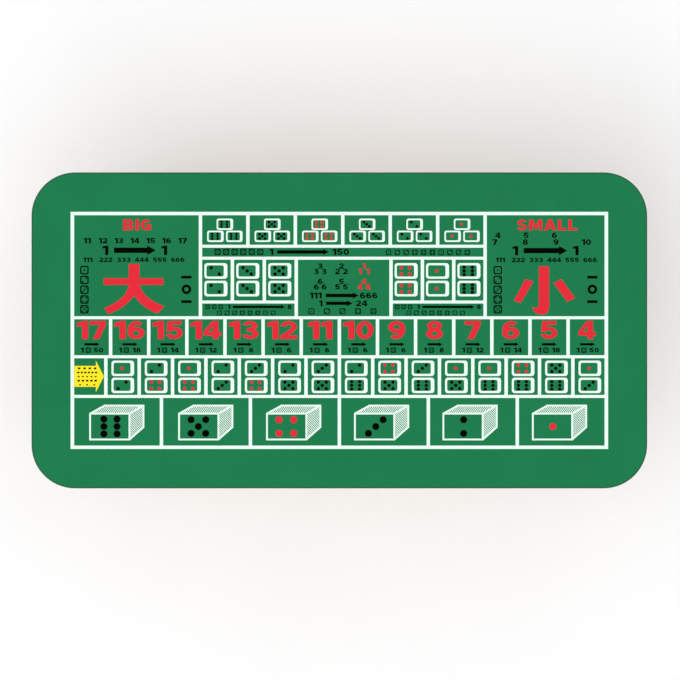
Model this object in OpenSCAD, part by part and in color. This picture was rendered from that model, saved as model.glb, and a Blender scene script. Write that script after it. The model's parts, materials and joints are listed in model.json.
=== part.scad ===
// Folding Sic Bo game table. A rounded plywood top carries a loose printed layout mat and
// stands on two tubular leg frames that fold flat beneath it.
// X runs along the table, Y across it, and Z is up from the floor under the table's centre.

/* [Table] */
// Overall length of the top
table_l = 1800; // [1780:5:1900]
// Overall width of the top
table_w = 924; // [900:2:960]
// Height of the playing surface above the floor
table_h = 760; // [740:5:765]
// Radius of the top's four corners
corner_r = 128; // [120:2:140]
// Thickness of the plywood board
board_t = 18; // [16:1:21]
// Thickness of the rubber edge moulding outside the board
band_t = 3; // [2:0.5:4]

/* [Mat] */
// Thickness of the mat's foam rubber
foam_t = 2.5; // [2:0.5:4]
// Thickness of the mat's cloth face
cloth_t = 0.5; // [0.4:0.1:0.8]
// Thickness of the printed ink
ink_t = 0.15; // [0.1:0.05:0.2]
// Gap between the mat and the edge moulding
mat_gap = 0.4; // [0.3:0.1:1]

/* [Underframe] */
// Height of the frame rails
rail_h = 45; // [40:1:48]
// Thickness of the frame rails
rail_t = 20; // [18:1:22]
// Distance of the frame rails from the table's edge
rail_inset = 50; // [50:1:54]
// Width of each flat cross batten
batten_w = 40; // [30:2:44]
// Thickness of each flat cross batten
batten_t = 12; // [10:1:12]
// Spacing of the cross battens
batten_pitch = 400; // [360:10:420]

/* [Leg frames] */
// Outer diameter of the leg tubes
leg_d = 28; // [25:1:28]
// Outer diameter of the cross tubes
cross_d = 22; // [18:1:22]
// Wall thickness of every tube
tube_wall = 1.5; // [1.2:0.1:2]
// Outward lean of the legs in degrees
splay = 4; // [3:0.5:5]
// Distance of the leg pivots from the table's end
pivot_inset = 160; // [156:1:164]
// Distance of each leg from the table's centre line
leg_y = 330; // [325:1:334]
// Distance of the pivot axis below the board
pivot_drop = 30; // [29:1:32]
// Distance of the clamp bolt from the pivot
clamp_r = 60; // [56:1:64]
// Thickness of the bracket plate
plate_t = 3; // [2.5:0.5:4]
// Diameter of the pivot bolts
pivot_d = 10; // [8:1:10]
// Diameter of the clamp bolts
clamp_d = 8; // [6:1:8]
// Overall diameter of the star knobs
knob_d = 40; // [34:1:40]

/* [Layout] */
// Length of the printed frame between its line centres
layout_w = 1560; // [1540:5:1580]
// Width of the printed frame between its line centres
layout_h = 682; // [682:1:690]
// Width of the left bet panel
big_w = 374; // [370:1:378]
// Width of the right bet panel
small_w = 354; // [350:1:358]
// Width of the upright lines
line_v = 9.8; // [8:0.2:11]
// Width of the level lines
line_h = 8.6; // [7:0.2:10]
// Width of the line round the whole layout
frame_line = 11; // [9:0.5:12]
// Height of the large totals
total_h = 53; // [48:1:54]

/* [Hidden] */

eps = 0.05;             // running clearance of screws, bolts and bushes
LEFT = -1;
RIGHT = 1;
FRONT = -1;
REAR = 1;

mat_t = foam_t + cloth_t;
ink_z = table_h - ink_t;
board_top_z = ink_z - mat_t;
board_z = board_top_z - board_t;
board_l = table_l - 2 * band_t;
board_w = table_w - 2 * band_t;
board_r = corner_r - band_t;
groove_d = 9;           // depth of the slot that holds the moulding's stem
groove_t = 2.2;         // height of that slot
stem_d = 8;
stem_t = 2;

rail_z = board_z - rail_h;
rail_x = table_l / 2 - rail_inset;      // outer face of the end rails
rail_y = table_w / 2 - rail_inset;      // outer face of the long rails
block_leg = 60;                         // legs of the triangular corner blocks

screw_d = 4.5;
screw_head_d = 9;
screw_head_h = 2.7;
screw_bite = 12;        // length of a frame screw inside the board
bracket_screw_d = 4;
bracket_screw_head_d = 8;
bracket_screw_head_h = 2.2;
bracket_screw_bite = 14;

pivot_x = table_l / 2 - pivot_inset;
pivot_z = board_z - pivot_drop;
leg_len = pivot_z / cos(splay);
leg_top = 14;           // tube beyond the pivot
leg_end = 8;            // tube ends this far above the foot's sole
cap_t = 3;
cap_plug = 5;
crossbar_drop = 110;    // upper crossbar below the pivot
stretcher_rise = 150;   // lower stretcher above the floor, along the leg
foot_d = 38;
foot_h = 34;

plate_y = leg_y + leg_d / 2 + 1;        // inner face of the bracket plate
plate_out = plate_y + plate_t;
plate_back = 28;                        // plate beyond the pivot, away from the centre
plate_rim = 14;                         // plate beyond the slot's centre line
flange_w = 34;
slot_w = clamp_d + 2.5;
pivot_head_h = 6.4;
pivot_nut_h = 8;
pivot_af = 17;                          // spanner size of the pivot bolts
washer_t = 1.2;
washer_gap = 0.2;
knob_y = plate_out + washer_gap + washer_t + 0.3;   // inner face of the knobs
knob_h = 20;
insert_d = 12;
insert_h = 15;
clamp_head_d = 18;
clamp_head_h = 3.5;

// Rows and columns of the layout, from its top left line crossing: u to the right, v down.
centre_w = layout_w - big_w - small_w;
triples_v = 95;
band_v = 130;
doubles_v = 258;
panel_v = 304;
totals_v = 418;
pairs_v = 534;
centre_u = big_w;
small_u = big_w + centre_w;
middle_u = centre_u + 280;
middle_w = 277;
triple_cell = centre_w / 6;
total_cell = layout_w / 14;
pair_cell = layout_w / 16;
cube_cell = layout_w / 6;

SLANT_UP = 1;           // two and three pips rise to the right
SLANT_DOWN = -1;
UPRIGHT = 0;            // two pips one above the other

// Odds for the totals 17 down to 4.
odds = [50, 18, 14, 12, 8, 6, 6, 6, 6, 8, 12, 14, 18, 50];
// The two faces of each pair bet, from the left.
pairs = [
    [1, 2], [2, 4], [1, 4], [2, 3], [3, 4], [2, 5], [3, 5], [2, 6],
    [4, 5], [3, 6], [1, 5], [1, 6], [4, 6], [5, 6], [1, 3]
];
doubles_left = [2, 3, 5];
doubles_right = [4, 1, 6];

// ---------- shared solids ----------

// Flat outline of the table top with true corner arcs.
module top_outline(l, w, r) {
    square([l - 2 * r, w], center = true);
    square([l, w - 2 * r], center = true);
    for (x = [-1, 1], y = [-1, 1])
        translate([x * (l / 2 - r), y * (w / 2 - r)])
            circle(r = r, $fn = 96);
}

module top_slab(z, t, inset) {
    translate([0, 0, z])
        linear_extrude(t)
            top_outline(table_l - 2 * inset, table_w - 2 * inset, corner_r - inset);
}

// Countersunk screw, head down, with its head's underside at z = 0.
module wood_screw(length) {
    difference() {
        union() {
            cylinder(d1 = screw_head_d, d2 = screw_d, h = screw_head_h, $fn = 32);
            translate([0, 0, screw_head_h])
                cylinder(d = screw_d, h = length - screw_head_h, $fn = 32);
        }
        translate([0, 0, -1])
            cylinder(d = 3.4, h = 2.6, $fn = 6);
    }
}

module wood_screw_hole(length) {
    cylinder(d1 = screw_head_d + 4 * eps, d2 = screw_d + 4 * eps, h = screw_head_h + eps, $fn = 32);
    cylinder(d = screw_d + 2 * eps, h = length + 1, $fn = 32);
}

module at_rail_screws() {
    for (x = [-2 : 2], y = [-1, 1])
        translate([x * 380, y * (rail_y - rail_t / 2), rail_z])
            children();
    for (x = [-1, 1], y = [-1 : 1])
        translate([x * (rail_x - rail_t / 2), y * 200, rail_z])
            children();
}

module at_batten_screws() {
    for (x = [-1 : 1], y = [-1, 0, 1])
        translate([x * batten_pitch, y * 340, board_z - batten_t])
            children();
}

// Moves children made for the left rear corner to any corner.
module corner(side, face) {
    mirror([side == RIGHT ? 1 : 0, 0, 0])
        mirror([0, face == FRONT ? 1 : 0, 0])
            children();
}

// Moves children made along the left rear leg, whose pivot is at their origin.
module on_leg(side, face) {
    corner(side, face)
        translate([-pivot_x, leg_y, pivot_z])
            rotate([0, splay, 0])
                children();
}

// Cylinder along +Y from the given start.
module rod_y(d, y0, y1, sides) {
    translate([0, y0, 0])
        rotate([-90, 0, 0])
            cylinder(d = d, h = y1 - y0, $fn = sides);
}

// ---------- top ----------

module top_board() {
    color("burlywood")
    difference() {
        top_slab(board_z, board_t, band_t);
        translate([0, 0, board_z + (board_t - groove_t) / 2])
            linear_extrude(groove_t)
                difference() {
                    top_outline(table_l, table_w, corner_r);
                    top_outline(board_l - 2 * groove_d, board_w - 2 * groove_d, board_r - groove_d);
                }
        at_rail_screws()
            cylinder(d = screw_d + 2 * eps, h = rail_h + screw_bite + 1, $fn = 32);
        at_batten_screws()
            cylinder(d = screw_d + 2 * eps, h = batten_t + screw_bite + 1, $fn = 32);
        for (side = [LEFT, RIGHT], face = [FRONT, REAR])
            at_bracket_screws(side, face)
                cylinder(d = bracket_screw_d + 2 * eps, h = plate_t + bracket_screw_bite + 1, $fn = 32);
    }
}

module edge_band() {
    color([0.14, 0.33, 0.24])
    union() {
        difference() {
            top_slab(board_z, table_h - board_z, 0);
            top_slab(board_z - 1, table_h - board_z + 2, band_t);
        }
        difference() {
            top_slab(board_z + (board_t - stem_t) / 2, stem_t, band_t / 2);
            top_slab(board_z, board_t, band_t + stem_d);
        }
    }
}

module long_rail(face) {
    color("peru")
    difference() {
        translate([-rail_x, face * (rail_y - rail_t / 2) - rail_t / 2, rail_z])
            cube([2 * rail_x, rail_t, rail_h]);
        at_rail_screws()
            wood_screw_hole(rail_h);
    }
}

module end_rail(side) {
    color("peru")
    difference() {
        translate([side * (rail_x - rail_t / 2) - rail_t / 2, rail_t - rail_y, rail_z])
            cube([rail_t, 2 * (rail_y - rail_t), rail_h]);
        at_rail_screws()
            wood_screw_hole(rail_h);
    }
}

module corner_blocks() {
    color("peru")
    for (side = [LEFT, RIGHT], face = [FRONT, REAR])
        corner(side, face)
            translate([rail_t - rail_x, rail_y - rail_t, rail_z])
                linear_extrude(rail_h)
                    polygon([[0, 0], [block_leg, 0], [0, -block_leg]]);
}

module cross_battens() {
    color("peru")
    difference() {
        for (x = [-1 : 1])
            translate([x * batten_pitch - batten_w / 2, rail_t - rail_y, board_z - batten_t])
                cube([batten_w, 2 * (rail_y - rail_t), batten_t]);
        at_batten_screws()
            wood_screw_hole(batten_t);
    }
}

module frame_screws() {
    color("silver")
    union() {
        at_rail_screws()
            wood_screw(rail_h + screw_bite);
        at_batten_screws()
            wood_screw(batten_t + screw_bite);
    }
}

// ---------- leg brackets ----------

// Curved slot that the clamp bolt follows, from the leaning leg to the flat one.
module slot_profile() {
    start = -90 - splay;
    reach = 2 * clamp_r;
    intersection() {
        difference() {
            circle(r = clamp_r + slot_w / 2, $fn = 96);
            circle(r = clamp_r - slot_w / 2, $fn = 96);
        }
        polygon([
            [0, 0], [reach * cos(start), reach * sin(start)],
            [reach, -reach], [reach, 0]
        ]);
    }
    for (a = [start, 0])
        translate([clamp_r * cos(a), clamp_r * sin(a)])
            circle(d = slot_w, $fn = 32);
}

module plate_profile() {
    rim = clamp_r + plate_rim;
    difference() {
        union() {
            intersection() {
                circle(r = rim, $fn = 96);
                translate([-plate_back, -rim])
                    square([plate_back + rim, rim]);
            }
            translate([-plate_back, 0])
                square([plate_back + rim, pivot_drop]);
        }
        circle(d = pivot_d + 2 * eps, $fn = 48);
        slot_profile();
    }
}

module at_bracket_screws(side, face) {
    corner(side, face)
        for (x = [-16, 24, 62])
            translate([x - pivot_x, plate_y - flange_w / 2, board_z - plate_t])
                children();
}

module bracket(side, face) {
    color("slategray")
    difference() {
        corner(side, face)
            translate([-pivot_x, 0, 0])
            union() {
                translate([0, plate_out, pivot_z])
                    rotate([90, 0, 0])
                        linear_extrude(plate_t)
                            plate_profile();
                translate([-plate_back, plate_y - flange_w, board_z - plate_t])
                    cube([plate_back + clamp_r + plate_rim, flange_w + plate_t / 2, plate_t]);
            }
        at_bracket_screws(side, face)
            translate([0, 0, -1])
                cylinder(d = bracket_screw_d + 4 * eps, h = plate_t + 2, $fn = 32);
    }
}

module bracket_screws() {
    color("silver")
    for (side = [LEFT, RIGHT], face = [FRONT, REAR])
        at_bracket_screws(side, face)
            difference() {
                union() {
                    cylinder(d = bracket_screw_d, h = plate_t + bracket_screw_bite, $fn = 32);
                    translate([0, 0, -bracket_screw_head_h])
                        cylinder(d = bracket_screw_head_d, h = bracket_screw_head_h, $fn = 32);
                }
                translate([0, 0, -bracket_screw_head_h - 1])
                    cylinder(d = 3, h = 2.4, $fn = 6);
            }
}

// Hexagon of the given size across its flats.
module hex_y(af, y0, y1) {
    rod_y(af / cos(30), y0, y1, 6);
}

module pivot_bolts() {
    color("silver")
    for (side = [LEFT, RIGHT], face = [FRONT, REAR])
        corner(side, face)
            translate([-pivot_x, 0, pivot_z])
                union() {
                    rod_y(pivot_d, leg_y - leg_d / 2 - pivot_nut_h - 3, plate_out + eps, 48);
                    hex_y(pivot_af, plate_out, plate_out + pivot_head_h);
                }
}

module pivot_nuts() {
    nut_y = leg_y - leg_d / 2 - 0.3;
    color("silver")
    for (side = [LEFT, RIGHT], face = [FRONT, REAR])
        corner(side, face)
            translate([-pivot_x, 0, pivot_z])
                difference() {
                    hex_y(pivot_af, nut_y - pivot_nut_h, nut_y);
                    rod_y(pivot_d + 2 * eps, nut_y - pivot_nut_h - 1, nut_y + 1, 48);
                }
}

// ---------- leg frames ----------

module leg(side, face) {
    bottom = leg_end - leg_len;
    color([0.1, 0.1, 0.1])
    on_leg(side, face)
        difference() {
            translate([0, 0, bottom])
                cylinder(d = leg_d, h = leg_top - bottom, $fn = 64);
            translate([0, 0, bottom - 1])
                cylinder(d = leg_d - 2 * tube_wall, h = leg_top - bottom + 2, $fn = 64);
            rod_y(pivot_d + 2 * eps, -leg_d, leg_d, 48);
            translate([0, 0, -clamp_r])
                rod_y(clamp_d + 2 * eps, -leg_d, leg_d, 48);
        }
}

// Tube between the two legs of one side, its ends shaped to the legs.
module cross_tube(side, drop) {
    color([0.1, 0.1, 0.1])
    difference() {
        corner(side, REAR)
            translate([-pivot_x, 0, pivot_z])
                rotate([0, splay, 0])
                    translate([0, 0, -drop])
                        difference() {
                            rod_y(cross_d, -leg_y, leg_y, 64);
                            rod_y(cross_d - 2 * tube_wall, -leg_y - 1, leg_y + 1, 64);
                        }
        for (face = [FRONT, REAR])
            on_leg(side, face)
                translate([0, 0, -drop - cross_d])
                    cylinder(d = leg_d + eps, h = 2 * cross_d, $fn = 64);
    }
}

module leg_caps(side) {
    color([0.08, 0.08, 0.08])
    for (face = [FRONT, REAR])
        on_leg(side, face)
            union() {
                translate([0, 0, leg_top])
                    cylinder(d1 = leg_d, d2 = leg_d - 5, h = cap_t, $fn = 64);
                translate([0, 0, leg_top - cap_plug])
                    cylinder(d = leg_d - 2 * tube_wall - eps, h = cap_plug + eps, $fn = 64);
            }
}

module feet(side) {
    color([0.06, 0.06, 0.06])
    intersection() {
        for (face = [FRONT, REAR])
            on_leg(side, face)
                difference() {
                    translate([0, 0, -leg_len - 3])
                        cylinder(d1 = foot_d, d2 = foot_d - 5, h = foot_h + 3, $fn = 64);
                    translate([0, 0, leg_end - leg_len])
                        cylinder(d = leg_d + 2 * eps, h = foot_h, $fn = 64);
                }
        translate([-table_l / 2, -table_w / 2, 0])
            cube([table_l, table_w, 2 * foot_h]);
    }
}

module clamp_bolts(side) {
    color("silver")
    for (face = [FRONT, REAR])
        on_leg(side, face)
            translate([0, -leg_y, -clamp_r])
                union() {
                    rod_y(clamp_d, leg_y - leg_d / 2 - clamp_head_h, knob_y + insert_h - 1, 48);
                    rod_y(clamp_head_d, leg_y - leg_d / 2 - clamp_head_h, leg_y - leg_d / 2, 48);
                }
}

module clamp_washers(side) {
    color("silver")
    for (face = [FRONT, REAR])
        on_leg(side, face)
            translate([0, -leg_y, -clamp_r])
                difference() {
                    rod_y(20, plate_out + washer_gap, plate_out + washer_gap + washer_t, 48);
                    rod_y(clamp_d + 0.4, plate_out, plate_out + 2 * washer_t, 48);
                }
}

// ---------- clamp knobs ----------

module star(lobes, d) {
    lobe_d = d / 4;
    circle(d = d - lobe_d, $fn = 48);
    for (i = [0 : lobes - 1])
        rotate(i * 360 / lobes)
            translate([(d - lobe_d) / 2, 0])
                circle(d = lobe_d, $fn = 32);
}

module knob(side, face) {
    hub_h = 5;
    color([0.12, 0.12, 0.12])
    on_leg(side, face)
        translate([0, knob_y - leg_y, -clamp_r])
            rotate([-90, 0, 0])
                difference() {
                    union() {
                        cylinder(d = knob_d / 2, h = hub_h + eps, $fn = 48);
                        translate([0, 0, hub_h])
                            linear_extrude(knob_h - hub_h - 2)
                                star(6, knob_d);
                        translate([0, 0, knob_h - 2 - eps])
                            cylinder(d1 = knob_d * 0.7, d2 = knob_d * 0.6, h = 2 + eps, $fn = 48);
                    }
                    translate([0, 0, -1])
                        cylinder(d = insert_d + eps, h = insert_h + 1.5, $fn = 48);
                }
}

module insert(side, face) {
    color("gold")
    on_leg(side, face)
        translate([0, knob_y - leg_y, -clamp_r])
            difference() {
                rod_y(insert_d, 0, insert_h, 48);
                rod_y(clamp_d + 2 * eps, -1, insert_h + 1, 48);
            }
}

// ---------- mat ----------

module mat_foam() {
    color([0.12, 0.12, 0.12])
    top_slab(board_top_z, foam_t, band_t + mat_gap);
}

module mat_cloth() {
    color([0.13, 0.49, 0.3])
    top_slab(board_top_z + foam_t, cloth_t, band_t + mat_gap);
}

// ---------- printing: shared outlines ----------

module ink(shade) {
    color(shade)
    translate([0, 0, ink_z])
        linear_extrude(ink_t)
            children();
}

module white() {
    ink([0.94, 1, 0.98])
        children();
}

module black() {
    ink([0.04, 0.05, 0.04])
        children();
}

module red() {
    ink([0.91, 0.18, 0.24])
        children();
}

// Puts children at a place on the layout.
module at(u, v) {
    translate([u - layout_w / 2, layout_h / 2 - v])
        children();
}

function arc(cx, cy, rx, ry, a0, a1, n) = [
    for (i = [0 : n])
        let (a = a0 + (a1 - a0) * i / n)
        [cx + rx * cos(a), cy + ry * sin(a)]
];

// Part of an elliptic ring of thickness tx across and ty up and down.
function ring_arc(cx, cy, rx, ry, tx, ty, a0, a1, n) = concat(
    arc(cx, cy, rx, ry, a0, a1, n),
    arc(cx, cy, rx - tx, ry - ty, a1, a0, n)
);

function bezier(a, b, c, n) = [
    for (i = [0 : n])
        let (t = i / n)
        a * (1 - t) * (1 - t) + b * 2 * t * (1 - t) + c * t * t
];

// Corner points of a centred rounded rectangle.
function rounded(w, h, r, n) = concat(
    arc(w / 2 - r, h / 2 - r, r, r, 0, 90, n),
    arc(r - w / 2, h / 2 - r, r, r, 90, 180, n),
    arc(r - w / 2, r - h / 2, r, r, 180, 270, n),
    arc(w / 2 - r, r - h / 2, r, r, 270, 360, n)
);

function box(x0, y0, x1, y1) = [[x0, y0], [x1, y0], [x1, y1], [x0, y1]];

// ---------- printing: figures and capitals, drawn one unit high ----------

glyph_stretch = 1.09;   // widens every figure and capital
glyph_gap = 0.1;

function glyph_w(c) = glyph_stretch * (
    c == "1" ? 0.57 : c == "2" ? 0.84 : c == "4" ? 0.88 : c == "7" ? 0.82 :
    c == "I" ? 0.36 : c == "L" ? 0.8 : c == "M" ? 1.18 : c == "A" ? 1.06 :
    c == "B" || c == "G" || c == "S" ? 0.93 : 0.87
);

function text_w(s, i = 0) =
    i >= len(s) ? -glyph_gap : glyph_w(s[i]) + glyph_gap + text_w(s, i + 1);

module shape(points) {
    polygon([for (p = points) [p[0] * glyph_stretch, p[1]]]);
}

// n is the number of edges in a half turn of each curve.
module six(n) {
    difference() {
        union() {
            shape(arc(0.43, 0.335, 0.43, 0.335, 0, 360 - 180 / n, 2 * n - 1));
            shape(ring_arc(0.45, 0.5, 0.45, 0.5, 0.28, 0.2, 48, 195, n));
        }
        shape(arc(0.43, 0.325, 0.15, 0.135, 0, 360 - 180 / n, 2 * n - 1));
    }
}

module glyph(c, n) {
    loop_end = 360 - 180 / n;
    loop_n = 2 * n - 1;
    if (c == "0")
        difference() {
            shape(arc(0.43, 0.5, 0.43, 0.5, 0, loop_end, loop_n));
            shape(arc(0.43, 0.5, 0.155, 0.3, 0, loop_end, loop_n));
        }
    if (c == "1")
        shape([[0.26, 0], [0.57, 0], [0.57, 1], [0.32, 1], [0, 0.9], [0, 0.68], [0.26, 0.73]]);
    if (c == "2")
        shape(concat(
            arc(0.42, 0.67, 0.41, 0.33, 172, -38, n),
            [[0.42, 0.21], [0.84, 0.21], [0.84, 0], [0, 0], [0, 0.19]],
            arc(0.42, 0.67, 0.14, 0.13, -38, 172, n)
        ));
    if (c == "3")
        shape(concat(
            arc(0.41, 0.73, 0.38, 0.27, 168, -50, n),
            arc(0.42, 0.29, 0.42, 0.29, 52, -168, n),
            arc(0.42, 0.29, 0.14, 0.11, -168, 90, n),
            [[0.26, 0.4], [0.26, 0.61]],
            arc(0.41, 0.72, 0.11, 0.1, -90, 168, n)
        ));
    if (c == "4")
        difference() {
            shape([
                [0.46, 0], [0.74, 0], [0.74, 0.19], [0.88, 0.19], [0.88, 0.4],
                [0.74, 0.4], [0.74, 1], [0.42, 1], [0, 0.42], [0, 0.19], [0.46, 0.19]
            ]);
            shape([[0.46, 0.4], [0.22, 0.4], [0.46, 0.72]]);
        }
    if (c == "5")
        shape(concat(
            [[0.1, 1], [0.8, 1], [0.8, 0.79], [0.34, 0.79], [0.33, 0.66]],
            arc(0.43, 0.34, 0.43, 0.34, 95, -168, n),
            arc(0.43, 0.34, 0.16, 0.14, -168, 145, n),
            [[0.03, 0.43]]
        ));
    if (c == "6")
        six(n);
    if (c == "7")
        shape([[0, 1], [0.82, 1], [0.82, 0.8], [0.46, 0], [0.14, 0], [0.48, 0.78], [0, 0.78]]);
    if (c == "8")
        difference() {
            union() {
                shape(arc(0.43, 0.735, 0.38, 0.265, 0, loop_end, loop_n));
                shape(arc(0.43, 0.29, 0.43, 0.29, 0, loop_end, loop_n));
            }
            shape(arc(0.43, 0.73, 0.12, 0.09, 0, loop_end, loop_n));
            shape(arc(0.43, 0.3, 0.15, 0.11, 0, loop_end, loop_n));
        }
    if (c == "9")
        translate([0.87 * glyph_stretch, 1])
            rotate(180)
                six(n);
    if (c == "B")
        difference() {
            shape(concat(
                [[0, 0], [0, 1]],
                arc(0.5, 0.745, 0.33, 0.255, 90, -50, n),
                arc(0.5, 0.285, 0.37, 0.285, 50, -90, n)
            ));
            shape(box(0.28, 0.62, 0.52, 0.8));
            shape(box(0.28, 0.2, 0.54, 0.4));
        }
    if (c == "I")
        shape(box(0, 0, 0.3, 1));
    if (c == "G")
        union() {
            shape(ring_arc(0.45, 0.5, 0.45, 0.5, 0.28, 0.21, 42, 322, 2 * n));
            shape(box(0.48, 0.36, 0.87, 0.56));
            shape(box(0.66, 0.06, 0.87, 0.4));
        }
    if (c == "S")
        shape(concat(
            arc(0.43, 0.72, 0.4, 0.28, 18, 270, n),
            arc(0.43, 0.285, 0.15, 0.085, 90, -165, n),
            arc(0.43, 0.285, 0.43, 0.285, -165, 90, n),
            arc(0.43, 0.72, 0.13, 0.08, 270, 18, n)
        ));
    if (c == "M")
        shape([
            [0, 0], [0, 1], [0.34, 1], [0.56, 0.42], [0.78, 1], [1.12, 1], [1.12, 0],
            [0.84, 0], [0.84, 0.6], [0.65, 0.1], [0.47, 0.1], [0.28, 0.6], [0.28, 0]
        ]);
    if (c == "A")
        difference() {
            shape([
                [0, 0], [0.36, 1], [0.66, 1], [1.02, 0], [0.72, 0],
                [0.66, 0.18], [0.36, 0.18], [0.3, 0]
            ]);
            shape([[0.42, 0.38], [0.6, 0.38], [0.51, 0.68]]);
        }
    if (c == "L")
        shape([[0, 0], [0, 1], [0.29, 1], [0.29, 0.21], [0.76, 0.21], [0.76, 0]]);
}

// A word or number, its left end on the origin.
module word(s, h, n) {
    scale(h)
        for (i = [0 : len(s) - 1])
            translate([i == 0 ? 0 : text_w([for (k = [0 : i - 1]) s[k]]) + glyph_gap, 0])
                glyph(s[i], n);
}

// A word or number centred on u, its top at v.
module word_at(s, u, v, h, n) {
    at(u - text_w(s) * h / 2, v + h)
        word(s, h, n);
}

// Numbers spread evenly from u0 to u1, with their tops at v.
module number_row(numbers, u0, u1, v, h) {
    first = u0 + text_w(numbers[0]) * h / 2;
    last = u1 - text_w(numbers[len(numbers) - 1]) * h / 2;
    for (i = [0 : len(numbers) - 1])
        word_at(numbers[i], first + (last - first) * i / (len(numbers) - 1), v, h, 5);
}

// Arrow pointing right between u0 and u1, centred on v.
module arrow_mark(u0, u1, v, h) {
    neck = u1 - u0 - h * 0.9;
    shaft = h * 0.28;
    at(u0, v)
        polygon([
            [0, -shaft], [neck, -shaft], [neck, -h / 2], [u1 - u0, 0],
            [neck, h / 2], [neck, shaft], [0, shaft]
        ]);
}

// Small die symbol used in place of wording.
module die_mark(u, v, size, count) {
    wall = size * 0.15;
    pip = size * 0.18;
    at(u, v)
        union() {
            difference() {
                polygon(rounded(size, size, size * 0.2, 2));
                polygon(rounded(size - 2 * wall, size - 2 * wall, size * 0.1, 2));
            }
            for (p = pip_places(count, SLANT_UP))
                translate(p * size * 0.21)
                    square(pip, center = true);
        }
}

// A line of die symbols between u0 and u1.
module die_row(u0, u1, v, size, count) {
    for (i = [0 : count - 1])
        die_mark(u0 + size / 2 + (u1 - u0 - size) * i / (count - 1), v, size, 1 + i % 6);
}

// ---------- printing: dice ----------

function pip_places(count, slant) =
    count == 1 ? [[0, 0]] :
    count == 2 && slant == UPRIGHT ? [[0, 1], [0, -1]] :
    count == 2 ? [[-1, -slant], [1, slant]] :
    count == 3 ? [[-1, -slant], [0, 0], [1, slant]] :
    count == 4 ? [[-1, -1], [-1, 1], [1, -1], [1, 1]] :
    count == 5 ? [[-1, -1], [-1, 1], [0, 0], [1, -1], [1, 1]] :
    [[-1, -1.2], [-1, 0], [-1, 1.2], [1, -1.2], [1, 0], [1, 1.2]];

function is_red(count) = count == 1 || count == 4;

module pips(count, slant, dx, dy, d) {
    for (p = pip_places(count, slant))
        translate([p[0] * dx, p[1] * dy])
            circle(d = d, $fn = 32);
}

// Outline of a flat die, thicker along its right side.
module die_outline(w, h) {
    left = w * 0.09;
    right = w * 0.155;
    level = h * 0.138;
    difference() {
        polygon(rounded(w, h, h * 0.18, 5));
        translate([(left - right) / 2, 0])
            polygon(rounded(w - left - right, h - 2 * level, h * 0.12, 5));
    }
}

// Places children at every die of the triple bets.
module triple_dice(index) {
    mid = centre_u + (index + 0.5) * triple_cell + 2;
    for (p = [[0, 30.8], [-27.6, 66], [27.6, 66]])
        at(mid + p[0], p[1])
            children();
}

// Places children at the two dice of a double bet; third is 0 on the left and 1 on the right.
module double_dice(third, index) {
    start = third == 0 ? centre_u : middle_u + middle_w;
    width = third == 0 ? middle_u - centre_u : small_u - start;
    for (v = [167.2, 218.8])
        at(start + width * (index + 0.5) / 3 - 1.5, v)
            children();
}

// Places children at the top (0) or bottom (1) die of a pair bet.
module pair_die(index, row) {
    at((index + 1.5) * pair_cell + 0.8, row == 0 ? 451.8 : 501.7)
        children();
}

triple_die = [48, 33];
double_die = [67.2, 45.6];
pair_die_size = [66, 45];
pip_shift = -2;         // pips sit left of the die's middle, clear of its thick side
cube_face = [115, 75.6];
cube_shift = [[42.5, 23.5], [41, 23.5], [41, 36]];     // back corners: top left, top right, low right
cube_line = 5;
cube_u = [109, 109, 106, 103, 101.5, 103];      // middle of each front face from the left of its cell
cube_v = 622;
cube_pips_shift = [2, -1, -1, 3.4, 1.7, 0.8];     // pips from the middle of each front face

module triple_pips(index) {
    count = 6 - index;
    triple_dice(index)
        translate([pip_shift * 0.8, 0])
            pips(count, SLANT_DOWN, 8, 6.2, count == 6 ? 7.3 : 8.4);
}

module double_pips(third, index) {
    faces = third == 0 ? doubles_left : doubles_right;
    double_dice(third, index)
        translate([pip_shift, 0])
            pips(faces[index], SLANT_DOWN, 12, 9.2, 10.3);
}

module pair_pips(index, row) {
    pair_die(index, row)
        translate([pip_shift, 0])
            pips(pairs[index][row], SLANT_UP, 11.6, 9.4, 9.8);
}

module cube_pips(index) {
    count = 6 - index;
    at(index * cube_cell + cube_u[index] + cube_pips_shift[index], cube_v)
        pips(count, count == 2 ? UPRIGHT : SLANT_UP, count == 6 ? 19.2 : 21.4, count == 6 ? 18 : 20, 20.6);
}

// Straight line of a drawing, with round ends a little wider than the line.
module line(a, b, w) {
    d = b - a;
    translate(a)
        rotate(atan2(d[1], d[0]))
            translate([0, -w / 2])
                square([norm(d), w]);
    for (p = [a, b])
        translate(p)
            circle(d = w * 1.1, $fn = 24);
}

// Slanting strokes that fill a face of a cube drawing; its corners run round from the first.
module hatch(face, angle, pitch, w) {
    across = [-sin(angle), cos(angle)];
    reach = [for (p = face) (p - face[0]) * across];
    intersection() {
        polygon(face);
        translate(face[0])
            rotate(angle)
                for (i = [floor(min(reach) / pitch) : ceil(max(reach) / pitch)])
                    translate([-200, (i + 0.3) * pitch])
                        square([400, w]);
    }
}

module cube_drawing() {
    a = [-cube_face[0] / 2, cube_face[1] / 2];
    b = [cube_face[0] / 2, cube_face[1] / 2];
    c = [cube_face[0] / 2, -cube_face[1] / 2];
    d = [-cube_face[0] / 2, -cube_face[1] / 2];
    e = a + cube_shift[0];
    f = b + cube_shift[1];
    g = c + cube_shift[2];
    union() {
        for (edge = [[a, b], [b, c], [c, d], [d, a], [a, e], [e, f], [f, b], [f, g], [g, c]])
            line(edge[0], edge[1], cube_line);
        hatch([a, b, f, e], 54, 4.8, 2.5);
        hatch([c, g, f, b], -46, 4.8, 2.5);
    }
}

// ---------- printing: white ----------

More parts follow.
